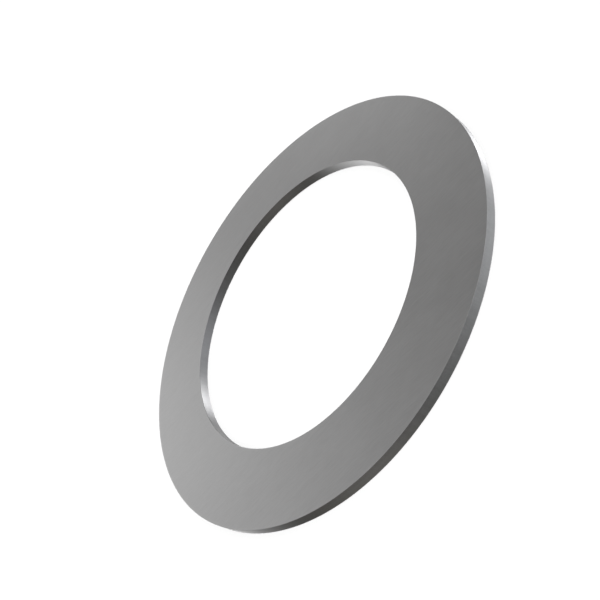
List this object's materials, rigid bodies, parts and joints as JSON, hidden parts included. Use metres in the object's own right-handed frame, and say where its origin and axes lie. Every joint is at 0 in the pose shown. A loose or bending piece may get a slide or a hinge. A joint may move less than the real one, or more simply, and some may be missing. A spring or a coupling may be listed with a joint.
{
  "type": "shim ring",
  "caption": "Thin flat steel ring with a plain round bore; slips over a shaft to set axial spacing and take up end play.",
  "frame": {"origin": "centre of the bore on the bottom face", "axes": "+Z along the bore axis, up out of the top face; the ring is round, so X and Y are any two directions across it"},
  "size_m": [0.052, 0.052, 0.0012],
  "materials": {
    "steel": "satin cold-rolled faces with a faint rolling grain, smoother deburred edges, dry and uncoated"
  },
  "bodies": {
    "root": {"shim_ring": "steel"}
  },
  "joints": []
}
